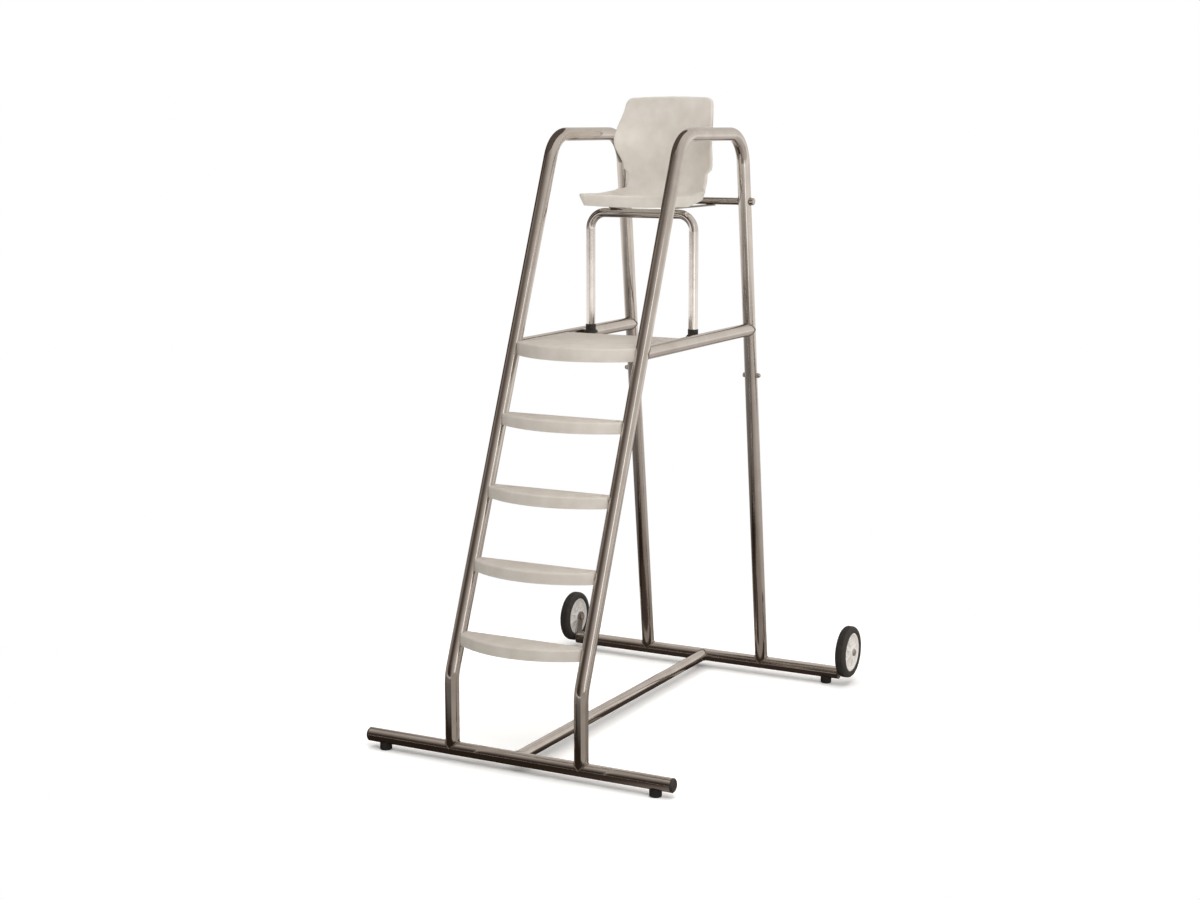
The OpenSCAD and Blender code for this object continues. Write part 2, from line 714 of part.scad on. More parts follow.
module seat_shell() {
    top = [for (i = [0:shell_nu], j = [0:shell_nv])
        let (g = grid_sx(i, j)) shell_point(g[0], g[1])];
    low = [for (i = [0:shell_nu], j = [0:shell_nv])
        let (g = grid_sx(i, j)) shell_point(g[0], g[1], -shell_t)];
    rings = [edge_ring(0.7 * roll_r, 0.3 * roll_r), edge_ring(roll_r, roll_r),
        skirt_ring(0), skirt_ring(shell_t), edge_ring(roll_r - shell_t, roll_r)];
    grid_n = (shell_nu + 1) * (shell_nv + 1);
    function at(i, j) = i * (shell_nv + 1) + j;
    function ring(r, k) = 2 * grid_n + r * loop_n + k % loop_n;
    function rim(k, base) = base + at(loop_ij[k % loop_n][0], loop_ij[k % loop_n][1]);
    quads = concat(
        [for (i = [0:shell_nu - 1], j = [0:shell_nv - 1])
            [at(i, j), at(i, j + 1), at(i + 1, j + 1), at(i + 1, j)]],
        [for (i = [0:shell_nu - 1], j = [0:shell_nv - 1])
            [grid_n + at(i, j), grid_n + at(i + 1, j), grid_n + at(i + 1, j + 1), grid_n + at(i, j + 1)]],
        [for (k = [0:loop_n - 1]) [rim(k, 0), ring(0, k), ring(0, k + 1), rim(k + 1, 0)]],
        [for (r = [0:len(rings) - 2], k = [0:loop_n - 1])
            [ring(r, k), ring(r + 1, k), ring(r + 1, k + 1), ring(r, k + 1)]],
        [for (k = [0:loop_n - 1])
            [ring(len(rings) - 1, k), rim(k, grid_n), rim(k + 1, grid_n), ring(len(rings) - 1, k + 1)]]);
    color("linen") placed() polyhedron(
        points = concat(top, low, [for (r = rings, p = r) p]),
        faces = [for (q = quads, h = [0, 1]) h == 0 ? [q[0], q[2], q[1]] : [q[0], q[3], q[2]]]);
}

// A flat link from the end of the rear bar to the axle.
module wheel_bracket(side) {
    d = [wheel_back, wheel_z - bar_z];
    color("dimgray") placed() mirrored(side)
        translate([rear_bar_l / 2, base_l, bar_z]) upright() difference() {
            union() {
                cylinder(h = bracket_t, r = tube_r);
                translate([d[0], d[1], 0]) cylinder(h = bracket_t, d = bracket_eye_d);
                rotate([0, 0, atan2(d[1], d[0])]) translate([0, -bracket_w / 2, 0])
                    cube([norm(d), bracket_w, bracket_t]);
            }
            translate([d[0], d[1], -cut]) cylinder(h = bracket_t + 2 * cut, d = axle_d);
        }
}

// An axle with its head inside the bracket, a shoulder outside it and a cap past the hub.
module axle(side) {
    head_x = rear_bar_l / 2 - axle_cap_h;
    cap_x = hub_x + hub_l + end_play;
    color("gray") placed() mirrored(side) translate([0, wheel_y, wheel_z]) rotate([0, 90, 0]) {
        translate([0, 0, head_x]) cylinder(h = axle_cap_h, d = axle_collar_d);
        translate([0, 0, head_x]) cylinder(h = cap_x + cut - head_x, d = axle_d);
        translate([0, 0, bracket_x]) cylinder(h = shoulder_l, d = axle_collar_d);
        translate([0, 0, cap_x]) cylinder(h = axle_cap_h / 2, d = axle_cap_d);
        translate([0, 0, cap_x + axle_cap_h / 2])
            cylinder(h = axle_cap_h / 2, d1 = axle_cap_d, d2 = axle_cap_d - axle_cap_h);
    }
}

// A dished hub: rim, web and boss, turned about the axle.
module wheel_hub(side) {
    color("lightgray") placed() mirrored(side) translate([wheel_x, wheel_y, wheel_z])
        rotate([0, 90, 0]) difference() {
            union() {
                cylinder(h = hub_l, d = boss_d, center = true);
                cylinder(h = web_t, r = rim_r - rim_t / 2, center = true);
                difference() {
                    cylinder(h = rim_w, r = rim_r, center = true);
                    cylinder(h = rim_w + cut, r = rim_r - rim_t, center = true);
                }
            }
            cylinder(h = hub_l + cut, r = axle_d / 2 + axle_gap, center = true);
        }
}

// A solid rubber tyre with rounded shoulders.
module tyre(side) {
    flat_r = tyre_d / 2 - tyre_shoulder_r;
    flat_w = tyre_w / 2 - tyre_shoulder_r;
    color("black") placed() mirrored(side) translate([wheel_x, wheel_y, wheel_z])
        rotate([0, 90, 0]) rotate_extrude($fn = 96) intersection() {
            translate([rim_r, -tyre_w / 2]) square([tyre_h, tyre_w]);
            union() {
                translate([0, -flat_w]) square([tyre_d / 2, 2 * flat_w]);
                translate([0, -tyre_w / 2]) square([flat_r, tyre_w]);
                for (s = [-1, 1]) translate([flat_r, s * flat_w]) circle(r = tyre_shoulder_r);
            }
        }
}

front_foot_bar();
rear_foot_bar();
base_spine();
bar_cap(-1);  // left_bar_cap
bar_cap(1);  // right_bar_cap
foot(-1, front_foot_x, 0);  // front_left_foot
foot(1, front_foot_x, 0);  // front_right_foot
foot(-1, rear_foot_x, base_l);  // rear_left_foot
foot(1, rear_foot_x, base_l);  // rear_right_foot
side_frame(-1);  // left_side_frame
side_frame(1);  // right_side_frame
rear_leg(-1);  // left_rear_leg
rear_leg(1);  // right_rear_leg
leg_bolt(-1);  // left_leg_bolt
leg_bolt(1);  // right_leg_bolt
tread(1);  // tread_1
tread(2);  // tread_2
tread(3);  // tread_3
tread(4);  // tread_4
deck();
deck_rail(-1);  // left_deck_rail
deck_rail(1);  // right_deck_rail
seat_frame();
seat_boot(-1);  // left_seat_boot
seat_boot(1);  // right_seat_boot
seat_cross_tube();
cross_cap(-1);  // left_cross_cap
cross_cap(1);  // right_cross_cap
seat_bearer(-1);  // left_seat_bearer
seat_bearer(1);  // right_seat_bearer
seat_mounts();
seat_shell();
wheel_bracket(-1);  // left_wheel_bracket
wheel_bracket(1);  // right_wheel_bracket
axle(-1);  // left_axle
axle(1);  // right_axle
wheel_hub(-1);  // left_wheel_hub
wheel_hub(1);  // right_wheel_hub
tyre(-1);  // left_tyre
tyre(1);  // right_tyre
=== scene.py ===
"""Looks of a lifeguard chair: bent stainless tube, moulded treads, deck and seat, rubber-tyred wheels.

Metres, in the frame's own axes: +Z up, the ladder faces -Y, the floor is Z = 0.
"""
import json
import math

import bmesh
import bpy
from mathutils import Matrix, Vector

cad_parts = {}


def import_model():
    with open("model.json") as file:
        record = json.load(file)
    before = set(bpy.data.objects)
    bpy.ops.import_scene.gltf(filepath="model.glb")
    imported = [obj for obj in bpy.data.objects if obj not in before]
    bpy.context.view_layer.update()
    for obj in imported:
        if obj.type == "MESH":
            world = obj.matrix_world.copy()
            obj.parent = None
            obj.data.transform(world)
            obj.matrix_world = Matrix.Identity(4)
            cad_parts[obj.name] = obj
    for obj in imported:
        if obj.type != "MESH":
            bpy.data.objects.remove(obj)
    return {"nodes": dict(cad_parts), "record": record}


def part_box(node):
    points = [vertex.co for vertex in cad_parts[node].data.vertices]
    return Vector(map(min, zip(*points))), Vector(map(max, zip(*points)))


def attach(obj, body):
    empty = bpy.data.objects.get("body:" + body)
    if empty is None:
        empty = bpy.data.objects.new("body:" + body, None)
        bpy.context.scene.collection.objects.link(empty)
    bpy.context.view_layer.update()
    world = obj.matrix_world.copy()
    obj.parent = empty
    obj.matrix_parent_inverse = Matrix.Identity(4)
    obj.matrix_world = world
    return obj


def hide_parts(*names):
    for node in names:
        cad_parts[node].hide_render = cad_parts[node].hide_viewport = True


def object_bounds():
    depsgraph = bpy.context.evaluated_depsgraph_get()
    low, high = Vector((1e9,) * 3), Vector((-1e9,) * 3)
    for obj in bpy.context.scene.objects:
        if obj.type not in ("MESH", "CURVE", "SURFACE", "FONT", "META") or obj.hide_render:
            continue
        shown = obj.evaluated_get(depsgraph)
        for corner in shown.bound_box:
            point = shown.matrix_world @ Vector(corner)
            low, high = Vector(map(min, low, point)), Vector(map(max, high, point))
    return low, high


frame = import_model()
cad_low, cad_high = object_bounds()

MM = 0.001
QUARTER = [math.radians(15 * i) for i in range(7)]       # the angles of a quarter round


# ---------------------------------------------------------------- sizes taken from the frame

def middle(node):
    low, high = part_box(node)
    return (low + high) / 2


def span(node):
    low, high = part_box(node)
    return high - low


TUBE_R = span("front_foot_bar").z / 2
SPINE_R = span("base_spine").z / 2
CROSS_R = span("seat_cross_tube").z / 2
FRONT_BAR = middle("front_foot_bar")
REAR_BAR = middle("rear_foot_bar")
LEG_X = middle("right_side_frame").x
RAIL = middle("right_deck_rail")
CROSS = middle("seat_cross_tube")

# The treads climb along the front legs, so two of them give the legs' slope.
TREAD_TAIL = 20 * MM           # from the front legs' axes back to a tread's rear edge
DECK_TAIL = 345 * MM           # from the front legs' axes back to the deck's rear edge
TREAD_RISE = middle("tread_4") - middle("tread_1")
FRONT_SLOPE = TREAD_RISE.y / TREAD_RISE.z
FRONT_DIR = Vector((0, FRONT_SLOPE, 1)).normalized()

# Both ends of a rear leg's box are rounded by the tube, and its top has the spigot's radius.
SPIGOT_R = 22 * MM
LEG_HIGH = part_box("right_rear_leg")[1]
REAR_SLOPE = -(span("right_rear_leg").y - TUBE_R - SPIGOT_R) / (LEG_HIGH.z - REAR_BAR.z)
REAR_DIR = Vector((0, REAR_SLOPE, 1)).normalized()


def front_leg_y(z):
    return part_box("tread_4")[1].y - TREAD_TAIL + FRONT_SLOPE * (z - middle("tread_4").z)


def rear_leg_y(z):
    return REAR_BAR.y + REAR_SLOPE * (z - REAR_BAR.z)


# ---------------------------------------------------------------- materials

def srgb(code):
    """An sRGB hex colour as linear RGBA."""
    parts = [int(code[i:i + 2], 16) / 255 for i in (0, 2, 4)]
    return [p / 12.92 if p <= 0.04045 else ((p + 0.055) / 1.055) ** 2.4 for p in parts] + [1]


def add(tree, kind, settings=None, links=None, stops=()):
    """Adds a node. Settings are its properties or, by name, its inputs' values. Links feed its inputs, from
    a socket or from a node's first output. Stops are the (position, hex) pairs of a colour ramp."""
    node = tree.nodes.new("ShaderNode" + kind)
    for key, value in (settings or {}).items():
        if isinstance(key, str) and hasattr(node, key):
            setattr(node, key, value)
        else:
            node.inputs[key].default_value = value
    for key, source in (links or {}).items():
        socket = source.outputs[0] if hasattr(source, "outputs") else source
        tree.links.new(socket, node.inputs[key])
    for i, (position, code) in enumerate(stops):
        if i >= len(node.color_ramp.elements):
            node.color_ramp.elements.new(1.0)
        node.color_ramp.elements[i].position = position
        node.color_ramp.elements[i].color = srgb(code)
    return node


def empty_tree(owner):
    """The cleared node tree of a material or a world."""
    owner.use_nodes = True
    owner.node_tree.nodes.clear()
    return owner.node_tree


def grain(tree, size_mm, detail=2, roughness=0.5, stretch=(1, 1, 1)):
    """Noise whose lumps are about size_mm across."""
    scale = 1 / (size_mm * MM)
    place = add(tree, "TexCoord").outputs["Object"]
    vector = add(tree, "Mapping", {"Scale": [scale * s for s in stretch]}, {"Vector": place})
    return add(tree, "TexNoise", {"Scale": 1, "Detail": detail, "Roughness": roughness}, {"Vector": vector})


def skin(name, shader_settings, colour, rough, relief=None):
    """A material whose colour, roughness and relief each follow a grain. Each starts with its grain's
    settings. Then colour has its ramp's stops, rough its least and most, and relief its depth in mm."""
    material = bpy.data.materials.new(name)
    tree = empty_tree(material)
    settings, stops = colour
    tint = add(tree, "ValToRGB", links={0: grain(tree, **settings)}, stops=stops)
    settings, least, most = rough
    spread = {"From Min": 0.3, "From Max": 0.7, "To Min": least, "To Max": most}
    worn = add(tree, "MapRange", spread, {"Value": grain(tree, **settings)})
    links = {"Base Color": tint, "Roughness": worn}
    if relief:
        settings, depth_mm = relief
        size = {"Strength": 1, "Distance": depth_mm * MM}
        links["Normal"] = add(tree, "Bump", size, {"Height": grain(tree, **settings)})
    shader = add(tree, "BsdfPrincipled", shader_settings, links)
    add(tree, "OutputMaterial", links={"Surface": shader})
    return material


def stainless(name, light, dark, rough_low, rough_high):
    """Satin stainless steel: drawn tube, belt polished. It mirrors softly, with faint cloudy stains and a
    fine lay of scratches round the tube, drawn coarser than the real 0.1 mm grit so that it shows."""
    clouds = {"size_mm": 90, "detail": 4}
    smears = {"size_mm": 30, "detail": 3}
    scratches = {"size_mm": 1.2, "detail": 3, "stretch": (0.12, 0.12, 1)}
    return skin(name, {"Metallic": 1.0}, (clouds, [(0.3, dark), (0.7, light)]),
                (smears, rough_low, rough_high), (scratches, 0.02))


def moulded(name, light, dark, rough, pebble_mm, depth_mm):
    """Moulded thermoplastic: an even satin skin, faint flow clouding, and the fine pebble of its mould."""
    clouds = {"size_mm": 60, "detail": 3}
    rubbed = {"size_mm": 25, "detail": 4, "roughness": 0.6}
    pebble = {"size_mm": pebble_mm, "detail": 1}
    return skin(name, {"IOR": 1.5}, (clouds, [(0.3, dark), (0.7, light)]),
                (rubbed, rough - 0.06, rough + 0.06), (pebble, depth_mm))


def rubber(name, light, dark, rough):
    """Vulcanised rubber: matt black with a bloom of grey dust in its pores."""
    dust = {"size_mm": 18, "detail": 5, "roughness": 0.65}
    pores = {"size_mm": 0.9}
    return skin(name, {"IOR": 1.52}, (dust, [(0.35, dark), (0.75, light)]),
                (dust, rough - 0.08, rough + 0.05), (pores, 0.06))


def weld_metal():
    """TIG weld in stainless: bright ripples with a straw and grey heat tint."""
    tint = {"size_mm": 6, "detail": 3}
    return skin("tig_weld", {"Metallic": 1.0}, (tint, [(0.3, "8a8078"), (0.7, "c2b8ac")]), (tint, 0.28, 0.45))


FINISH = {
    "tube_steel": stainless("satin_stainless_tube", "ded8d2", "d0c9c2", 0.09, 0.15),
    "fixing_steel": stainless("turned_stainless", "d2ccc6", "c0b9b2", 0.2, 0.28),
    "bracket_steel": stainless("mill_stainless_plate", "aaa39c", "96908a", 0.34, 0.44),
    "tread_plastic": moulded("pebbled_tread_moulding", "cbc4bc", "c1b9b0", 0.5, 1.6, 0.12),
    "seat_plastic": moulded("satin_seat_shell", "e2dcd4", "d7cfc6", 0.34, 2.2, 0.04),
    "black_plastic": moulded("black_nylon", "38322e", "2b2623", 0.42, 1.2, 0.05),
    "black_rubber": rubber("black_foot_rubber", "2c2927", "1c1a19", 0.72),
    "tyre_rubber": rubber("solid_tyre_rubber", "3e3834", "2a2725", 0.66),
    "hub_plastic": moulded("grey_nylon_hub", "f2efec", "e8e4e0", 0.4, 1.5, 0.06),
}
# The seat hoop: the same satin steel as the tube, drawn paler, a painted brightening that stands for the
# brighter light its legs mirror.
HOOP_STEEL_PAINTED_PALE = stainless("seat_hoop_painted_paler", "f3efeb", "e6e1dc", 0.1, 0.16)
WELD = weld_metal()


def dress_cad_nodes():
    for part in frame["record"]["subparts"]:
        node = frame["nodes"][part["node"]]
        node.data.materials.clear()
        node.data.materials.append(FINISH[part["material_slot"]])
    # The seat frame takes the paler steel, its painted brightening.
    frame["nodes"]["seat_frame"].data.materials[0] = HOOP_STEEL_PAINTED_PALE


# ---------------------------------------------------------------- mesh helpers

def piece(name, points, faces, material, body="frame", smooth=40):
    """A mesh object that rides on a body, smooth except at edges sharper than the given degrees."""
    mesh = bpy.data.meshes.new(name)
    mesh.from_pydata([tuple(p) for p in points], [], faces)
    work = bmesh.new()
    work.from_mesh(mesh)
    bmesh.ops.remove_doubles(work, verts=work.verts, dist=0.01 * MM)
    work.to_mesh(mesh)
    work.free()
    obj = bpy.data.objects.new(name, mesh)
    bpy.context.scene.collection.objects.link(obj)
    mesh.materials.append(material)
    mesh.polygons.foreach_set("use_smooth", [True] * len(mesh.polygons))
    mesh.set_sharp_from_angle(angle=math.radians(smooth))
    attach(obj, body)
    return obj


def tube_faces(rings, sides, closed):
    """Quads between rings of points that follow each other, and back to the first if closed."""
    count = rings if closed else rings - 1
    return [(a * sides + b, a * sides + (b + 1) % sides,
             (a + 1) % rings * sides + (b + 1) % sides, (a + 1) % rings * sides + b)
            for a in range(count) for b in range(sides)]


# ---------------------------------------------------------------- weld beads

def cope_point(start, direction, other, other_dir, other_r):
    """Where a line from start leaves the other tube's round surface for the last time."""
    offset = start - other
    offset -= other_dir * offset.dot(other_dir)
    run = direction - other_dir * direction.dot(other_dir)
    a, b, c = run.dot(run), 2 * run.dot(offset), offset.dot(offset) - other_r ** 2
    root = math.sqrt(max(b * b - 4 * a * c, 0))
    return start + direction * ((-b + root) / (2 * a))


BEAD_R = 2.6                   # radius of a weld bead, in millimetres
SMALL_BEAD_R = 2.0             # and of those round the cross tube
RIPPLE = 0.16                  # how much a bead swells at each ripple, as a share of its radius
RIPPLE_STEPS = 4               # steps of the bead's path in one ripple


def weld_bead(name, axis_point, direction, radius, other, other_dir, other_r, bead_r=BEAD_R):
    """A rippled bead round the foot of a tube that stands on another tube."""
    side = direction.orthogonal().normalized()
    across = direction.cross(side)
    steps, sides = 180, 8
    path = []
    for i in range(steps):
        turn = math.tau * i / steps
        start = axis_point + (side * math.cos(turn) + across * math.sin(turn)) * radius
        path.append(cope_point(start, direction, other, other_dir, other_r))
    points = []
    for i, centre in enumerate(path):
        ahead = (path[(i + 1) % steps] - path[i - 1]).normalized()
        out = (centre - axis_point).normalized()
        out = (out - ahead * out.dot(ahead)).normalized()
        up = ahead.cross(out)
        ripple = bead_r * (1 + RIPPLE * math.sin(math.tau * i / RIPPLE_STEPS)) * MM
        for j in range(sides):
            angle = math.tau * j / sides
            points.append(centre + (out * math.cos(angle) + up * math.sin(angle)) * ripple)
    return piece(name, points, tube_faces(steps, sides, True), WELD, smooth=60)


def weld_beads():
    x_dir, y_dir, z_dir = Vector((1, 0, 0)), Vector((0, 1, 0)), Vector((0, 0, 1))
    for side, sign in (("left", -1), ("right", 1)):
        foot = Vector((sign * LEG_X, FRONT_BAR.y, FRONT_BAR.z))
        weld_bead(f"{side}_stub_weld", foot, z_dir, TUBE_R, foot, x_dir, TUBE_R)
        heel = Vector((sign * LEG_X, REAR_BAR.y, REAR_BAR.z))
        weld_bead(f"{side}_rear_leg_weld", heel, REAR_DIR, TUBE_R, heel, x_dir, TUBE_R)
        front_leg = Vector((sign * LEG_X, front_leg_y(RAIL.z), RAIL.z))
        weld_bead(f"{side}_rail_front_weld", front_leg, y_dir, TUBE_R, front_leg, FRONT_DIR, TUBE_R)
        rear_leg = Vector((sign * LEG_X, rear_leg_y(RAIL.z), RAIL.z))
        weld_bead(f"{side}_rail_rear_weld", rear_leg, -y_dir, TUBE_R, rear_leg, REAR_DIR, TUBE_R)
        hole = Vector((sign * LEG_X, CROSS.y, CROSS.z))
        for face, out in (("inner", -sign), ("outer", sign)):
            weld_bead(f"{side}_cross_{face}_weld", hole, x_dir * out, CROSS_R, hole, REAR_DIR, TUBE_R,
                      SMALL_BEAD_R)
    for name, bar, sign in (("front", FRONT_BAR, 1), ("rear", REAR_BAR, -1)):
        centre = Vector((0, bar.y, bar.z))
        weld_bead(f"spine_{name}_weld", centre, y_dir * sign, SPINE_R, centre, x_dir, TUBE_R)


# ---------------------------------------------------------------- treads and deck

MOULD_R = 8 * MM               # radius of a moulding's upper edges
MOULD_T = 4 * MM               # its wall
MOULD_CORNER = 12 * MM         # radius of its corners in plan
MOULD_RIM = 0.6 * MM           # chamfer of its wall's lower edge
TREAD_SHOULDER = 24 * MM       # from the front legs' axes forward to the ends of a tread's nose
DECK_SHOULDER = 14 * MM        # and of the deck's
UNDER_RIBS = 3
GRIP_PITCH = 9 * MM            # from one grip ridge to the next
GRIP_W = 3.2 * MM
GRIP_H = 1.0 * MM
GRIP_INSET = 14 * MM           # from a moulding's edge to its grip ridges


def nose_arc(half_w, nose, shoulder):
    """Radius of a moulding's arched nose, and the place of its centre behind the leg axes."""
    rise = nose - shoulder
    radius = (half_w ** 2 + rise ** 2) / (2 * rise)
    return radius, radius - nose


def moulding_outline(half_w, nose, shoulder, tail, inset):
    """A moulding's plan, drawn in by the inset, as points round from the left end of its nose."""
    arc_r, arc_y = nose_arc(half_w, nose, shoulder)
    corner_x = half_w - MOULD_CORNER
    corner_y = arc_y - math.sqrt((arc_r - MOULD_CORNER) ** 2 - corner_x ** 2)
    reach = math.atan2(corner_x, arc_y - corner_y)
    quarter = math.pi / 2
    arcs = [(0, arc_y, arc_r, -reach, reach, 64),
            (corner_x, corner_y, MOULD_CORNER, reach, quarter, 6),
            (corner_x, tail - MOULD_CORNER, MOULD_CORNER, quarter, 2 * quarter, 6),
            (-corner_x, tail - MOULD_CORNER, MOULD_CORNER, 2 * quarter, 3 * quarter, 6),
            (-corner_x, corner_y, MOULD_CORNER, -quarter, -reach, 6)]
    points = []
    for x, y, radius, start, end, steps in arcs:
        for i in range(steps + 1):
            turn = start + (end - start) * i / steps
            points.append((x + (radius - inset) * math.sin(turn), y - (radius - inset) * math.cos(turn)))
    return points


def add_box(points, faces, low, high):
    """A plain bar inside a larger piece's mesh."""
    base = len(points)
    points += [Vector((x, y, z))
               for z in (low[2], high[2]) for y in (low[1], high[1]) for x in (low[0], high[0])]
    corners = [(0, 2, 3, 1), (4, 5, 7, 6), (0, 1, 5, 4), (1, 3, 7, 5), (3, 2, 6, 7), (2, 0, 4, 6)]
    faces += [[base + c for c in quad] for quad in corners]


def add_ridge(points, faces, half_l, y, z):
    """A low round-backed grip ridge across a moulding, tapered at its ends."""
    base, sides = len(points), 7
    for x, size in ((-half_l, 0.1), (-half_l + GRIP_W, 1), (half_l - GRIP_W, 1), (half_l, 0.1)):
        for j in range(sides):
            turn = math.pi * j / (sides - 1)
            aside, lift = size * GRIP_W / 2 * math.cos(turn), size * GRIP_H * math.sin(turn)
            points.append(Vector((x, y - aside, z + lift)))
    for a in range(3):
        for b in range(sides - 1):
            first = base + a * sides + b
            faces.append([first, first + sides, first + sides + 1, first + 1])


def moulding(node, shoulder, tail):
    """A moulded tread or deck: round upper edges, open and ribbed below, with a ridged grip on top."""
    low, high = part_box(node)
    half_w, height = (high.x - low.x) / 2, high.z - low.z
    leg_y = high.y - tail
    nose = leg_y - low.y
    rounding = [(MOULD_R * (1 - math.cos(t)), -MOULD_R * (1 - math.sin(t))) for t in QUARTER]
    rim = MOULD_RIM
    section = [(MOULD_T + rim, -MOULD_T), (MOULD_T, -MOULD_T - rim), (MOULD_T, -height + rim),
               (MOULD_T - rim, -height), (rim, -height), (0, -height + rim)]
    section += rounding + [(MOULD_R + rim, 0)]
    points = []
    for inset, drop in section:
        outline = moulding_outline(half_w, nose, shoulder, tail, inset)
        points += [Vector((x, leg_y + y, high.z + drop)) for x, y in outline]
    sides = len(outline)
    faces = tube_faces(len(section), sides, False)
    faces.append(list(range(len(points) - sides, len(points))))
    faces.append(list(reversed(range(sides))))
    arc_r, arc_y = nose_arc(half_w, nose, shoulder)
    rib_gap = 2 * half_w / (UNDER_RIBS + 1)
    for i in range(1, UNDER_RIBS + 1):
        x = -half_w + i * rib_gap
        front = leg_y + arc_y - math.sqrt((arc_r - MOULD_T) ** 2 - x ** 2)
        rib_low = (x - MOULD_T / 2, front, low.z + rim)
        rib_high = (x + MOULD_T / 2, high.y - MOULD_T, high.z - MOULD_T)
        add_box(points, faces, rib_low, rib_high)
    rows = int((nose + tail - 2 * GRIP_INSET) / GRIP_PITCH)
    for i in range(rows + 1):
        y = tail - GRIP_INSET - i * GRIP_PITCH
        chord = (arc_r - GRIP_INSET) ** 2 - (arc_y - y) ** 2 if y < arc_y else half_w ** 2
        half_l = min(math.sqrt(max(chord, 0)), half_w - 2 * GRIP_INSET)
        if half_l > 2 * GRIP_INSET:
            add_ridge(points, faces, half_l, leg_y + y, high.z)
    obj = piece(node + "_moulding", points, faces, FINISH["tread_plastic"], smooth=35)
    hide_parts(node)


def treads_and_deck():
    for i in range(1, 5):
        moulding(f"tread_{i}", TREAD_SHOULDER, TREAD_TAIL)
    moulding("deck", DECK_SHOULDER, DECK_TAIL)


# ---------------------------------------------------------------- seat

# Sizes of the seat shell in millimetres.
PAN_L = 340                    # depth of the pan, to the foot of the backrest
HEEL = 60                      # radius of the curve from the pan into the backrest
BACK_H = 352                   # height of the backrest above the rim
BACK_LEAN = 14                 # how far the backrest leans back over its height
DISH = 14                      # dish of the pan
SHELL_T = 5                    # the shell's wall
ROLL_R = 8                     # radius of the shell's rolled edge
SKIRT_H = 42                   # height of the pan's skirt
SKIRT_IN = 18                  # how far the skirt slopes in
CORNER_R = 20                  # radius of the shell's corners
PAN_W = 200                    # half width of the pan at its front
PAN_REAR_W = 182               # half width of the pan before the heel
BACK_TOP_W = 178               # half width of the backrest's top edge
WING_W = 200                   # half width of the backrest at its widest
WING_F = 62                    # forward reach of its wings
WAIST_W = 162                  # half width of the waist
WAIST_TOP = 92                 # height of the waist's upper end above the rim
WAIST_STEP = 20                # how much the shell widens there, and over what height
WING_Z = 185                   # height above the rim where the backrest is widest
CROWN = 7                      # how much lower the backrest's top edge is at its corners


def ease(t):
    return t * t * (3 - 2 * t)


def eased(at, stops):
    """The value at a place, from (place, value) stops with smooth steps between them."""
    if at <= stops[0][0]:
        return stops[0][1]
    for (a, low), (b, high) in zip(stops, stops[1:]):
        if at < b:
            return low + (high - low) * ease((at - a) / (b - a))
    return stops[-1][1]


class SeatLine:
    """The middle line of the seat's upper face: a dished pan, the heel and an almost straight backrest."""

    def __init__(self):
        pan, back = PAN_L - ROLL_R, BACK_H - ROLL_R
        self.points = [Vector(p) for p in (
            (0, 0), (0.3 * pan, -0.8 * DISH), (0.65 * pan, -DISH), (pan - HEEL, -0.6 * DISH),
            (pan - 0.3 * HEEL, 0.3 * HEEL), (pan, HEEL), (pan + 0.3 * BACK_LEAN, 0.5 * back),
            (pan + 0.6 * BACK_LEAN, 0.75 * back), (pan + BACK_LEAN, back))]
        self.knots = [0]
        for a, b in zip(self.points, self.points[1:]):
            self.knots.append(self.knots[-1] + (b - a).length)
        self.run = self.knots[-1]

    def slope(self, i):
        a, b = max(0, i - 1), min(len(self.points) - 1, i + 1)
        return (self.points[b] - self.points[a]) / (self.knots[b] - self.knots[a])

    def at(self, s):
        """Distance back and height at length s, straight beyond the line's ends."""
        c = min(max(s, 0), self.run)
        i = max(k for k in range(len(self.points) - 1) if self.knots[k] <= c)
        width = self.knots[i + 1] - self.knots[i]
        t = (c - self.knots[i]) / width
        here, there = self.points[i], self.points[i + 1]
        curve = (here * (2 * t ** 3 - 3 * t ** 2 + 1) + self.slope(i) * width * (t ** 3 - 2 * t ** 2 + t)
                 + there * (3 * t ** 2 - 2 * t ** 3) + self.slope(i + 1) * width * (t ** 3 - t ** 2))
        return curve + self.slope(0 if s < 0 else len(self.points) - 1) * (s - c)

    def direction(self, s):
        return (self.at(s + 0.5) - self.at(s - 0.5)).normalized()

    def up_back(self, height):
        """The length along the line at a height above the rim, on the backrest."""
        return self.knots[5] + height - HEEL


def corner_in(distance):
    """How far a rounded corner draws the side in at a distance from the shell's end."""
    if distance >= CORNER_R:
        return 0
    return CORNER_R - math.sqrt(CORNER_R ** 2 - (CORNER_R - max(distance, 0)) ** 2)


